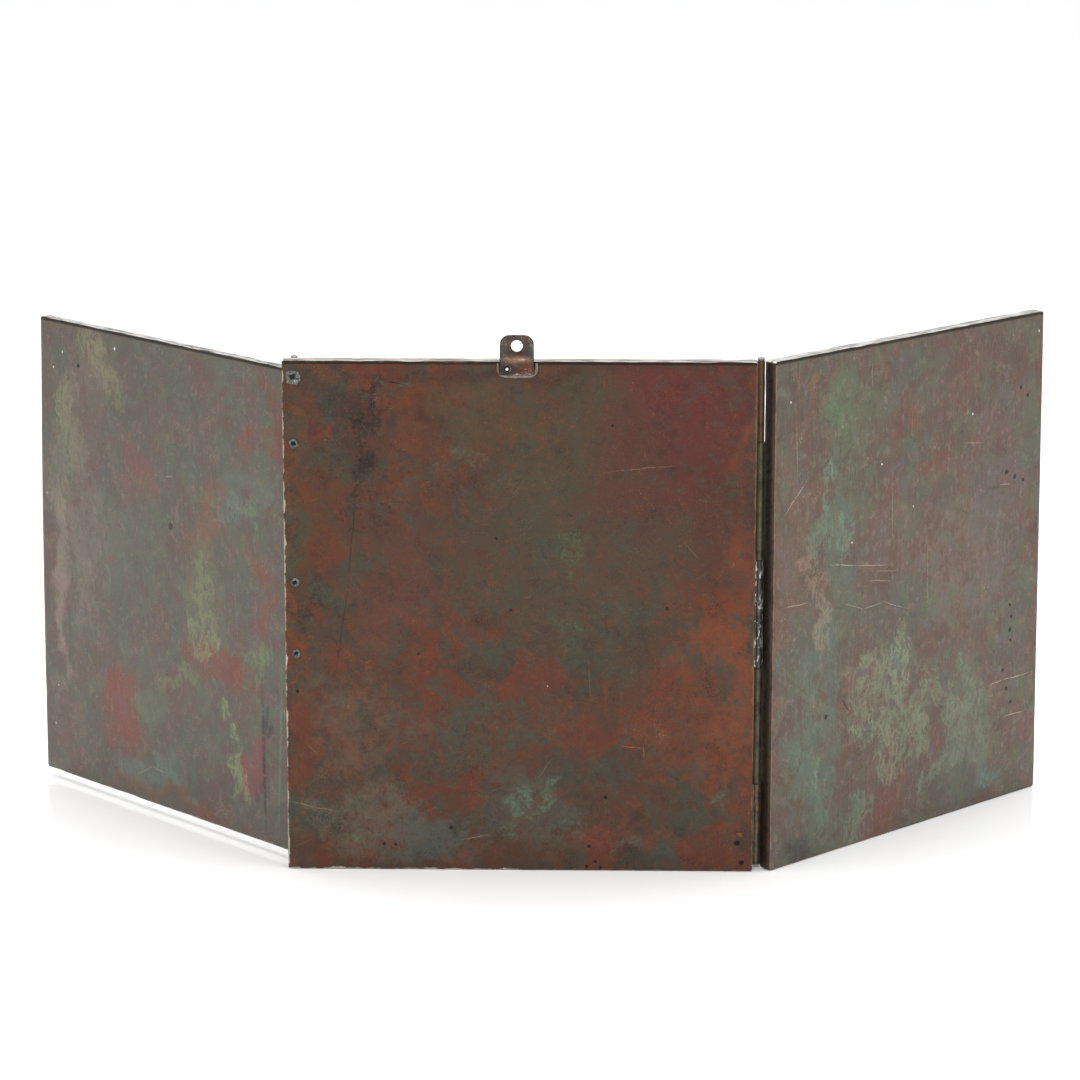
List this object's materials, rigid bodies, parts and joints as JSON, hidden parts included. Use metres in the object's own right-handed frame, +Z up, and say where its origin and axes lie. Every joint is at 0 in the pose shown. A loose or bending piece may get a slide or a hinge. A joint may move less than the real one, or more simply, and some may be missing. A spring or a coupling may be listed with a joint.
{
  "type": "triptych altarpiece",
  "caption": "Free-standing folding bronze triptych: thick patinated plates joined by full-height knuckle hinges, with a hanging lug on the back.",
  "frame": {"origin": "middle of the centre plate's underside, on the surface that it stands on", "axes": "+Z up, +Y towards the carved front, -Y towards the plain back, +X to the right as seen from behind"},
  "size_m": [0.4673, 0.1403, 0.2396],
  "materials": {
    "centre_bronze": "red-brown patina with green and dark mottling, satin",
    "left_wing_bronze": "grey-mauve patina with pale green verdigris, satin",
    "right_wing_bronze": "brown-mauve patina with mint-green verdigris, satin",
    "hinge_bronze": "dark worn bronze with bright solder scuffs",
    "hinge_pin": "dark pin, dull",
    "rivet_metal": "grey-green peened rivet",
    "lug_bronze": "dark brown patina, satin"
  },
  "bodies": {
    "centre": {"centre_plate": "centre_bronze", "hanging_lug": "lug_bronze", "left_knuckle_1": "hinge_bronze", "left_knuckle_3": "hinge_bronze", "left_knuckle_5": "hinge_bronze", "right_knuckle_1": "hinge_bronze", "right_knuckle_3": "hinge_bronze", "right_knuckle_5": "hinge_bronze", "left_hinge_pin": "hinge_pin", "right_hinge_pin": "hinge_pin", "left_rivet_1": "rivet_metal", "left_rivet_2": "rivet_metal", "left_rivet_3": "rivet_metal", "left_rivet_4": "rivet_metal"},
    "left_wing": {"left_wing_plate": "left_wing_bronze", "left_knuckle_2": "hinge_bronze", "left_knuckle_4": "hinge_bronze"},
    "right_wing": {"right_wing_plate": "right_wing_bronze", "right_knuckle_2": "hinge_bronze", "right_knuckle_4": "hinge_bronze"}
  },
  "joints": [
    {"name": "left_wing_hinge", "type": "hinge", "parent": "centre", "child": "left_wing", "pos_m": [-0.0972, 0.00615, 0], "axis": [0, 0, -1], "range_deg": [-44.5, 135.5]},
    {"name": "right_wing_hinge", "type": "hinge", "parent": "centre", "child": "right_wing", "pos_m": [0.1037, 0.00565, 0], "axis": [0, 0, 1], "range_deg": [-44.5, 135.5]}
  ]
}
